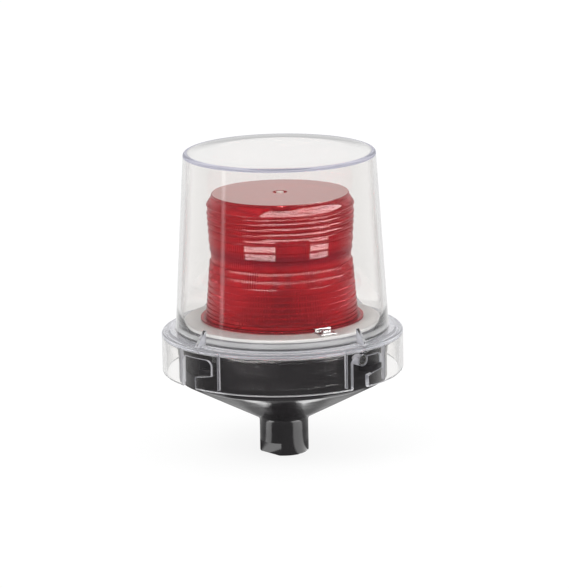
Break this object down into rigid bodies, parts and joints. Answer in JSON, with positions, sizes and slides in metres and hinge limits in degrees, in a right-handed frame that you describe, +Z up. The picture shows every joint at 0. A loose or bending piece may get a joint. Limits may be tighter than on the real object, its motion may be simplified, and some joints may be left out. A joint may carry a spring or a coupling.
{
  "type": "pipe-mounted strobe warning light",
  "caption": "Strobe warning light: a clear bayonet dome over a red ring-moulded lens, on a black funnel base with a threaded pipe hub.",
  "frame": {"origin": "centre of the pipe hub's bottom face", "axes": "+Z up the light's axis, -Y to the front, +X to the right seen from the front"},
  "size_m": [0.165, 0.165, 0.2095],
  "materials": {
    "black_moulding": "smooth gloss black moulding",
    "black_rubber": "matt neoprene",
    "clear_dome": "clear polycarbonate, polished",
    "brass": "turned brass",
    "plated_steel": "bright zinc plate",
    "grey_plate": "spun, satin",
    "red_lens": "clear red, ring-moulded",
    "dark_phenolic": "moulded phenolic",
    "nickel": "nickel plate",
    "tube_glass": "clear glass",
    "lead_insulation": "white silicone insulation",
    "board_green": "solder-masked laminate",
    "capacitor_sleeve": "shrink sleeve over a can",
    "core_steel": "stacked laminations, varnished",
    "winding_tape": "taped copper winding",
    "sink_aluminium": "extruded, satin",
    "terminal_plastic": "moulded nylon",
    "earth_green": "green-dyed steel"
  },
  "bodies": {
    "base": {"base_housing": "black_moulding", "mounting_plate": "grey_plate", "plate_spacers": "plated_steel", "lens_clips": "plated_steel", "lens_screws": "plated_steel", "lens_gasket": "black_rubber", "red_lens": "red_lens", "tube_socket": "dark_phenolic", "socket_screws": "plated_steel", "tube_leads": "lead_insulation", "circuit_board": "board_green", "board_standoffs": "plated_steel", "plate_screws": "plated_steel", "board_screws": "plated_steel", "storage_capacitor": "capacitor_sleeve", "transformer_core": "core_steel", "transformer_winding": "winding_tape", "trigger_coil": "winding_tape", "heat_sink": "sink_aluminium", "power_transistor": "dark_phenolic", "terminal_block": "terminal_plastic", "terminal_screws": "plated_steel", "earth_screw": "earth_green"},
    "gasket": {"dome_gasket": "black_rubber"},
    "dome": {"outer_dome": "clear_dome", "lock_screw_insert": "brass"},
    "lock": {"lock_screw": "plated_steel"},
    "tube": {"tube_plug": "dark_phenolic", "tube_pins": "brass", "tube_electrodes": "nickel", "flash_tube": "tube_glass", "trigger_wire": "nickel", "tube_envelope": "tube_glass"}
  },
  "joints": [
    {"name": "dome_turn", "type": "hinge", "parent": "base", "child": "gasket", "pos_m": [0, 0, 0.084], "axis": [0, 0, 1], "range_deg": [0, 10.8]},
    {"name": "dome_rise", "type": "slide", "parent": "gasket", "child": "dome", "axis": [0, 0, 1], "range_m": [0, 0.0028]},
    {"name": "lock_screw_out", "type": "slide", "parent": "dome", "child": "lock", "axis": [0.6481, -0.7616, 0], "range_m": [0, 0.005]},
    {"name": "tube_unplug", "type": "slide", "parent": "base", "child": "tube", "axis": [0, 0, 1], "range_m": [0, 0.008]}
  ],
  "couplings": [
    {"joint": "dome_rise", "follows": "dome_turn", "m_per_rad": 0.01442}
  ]
}
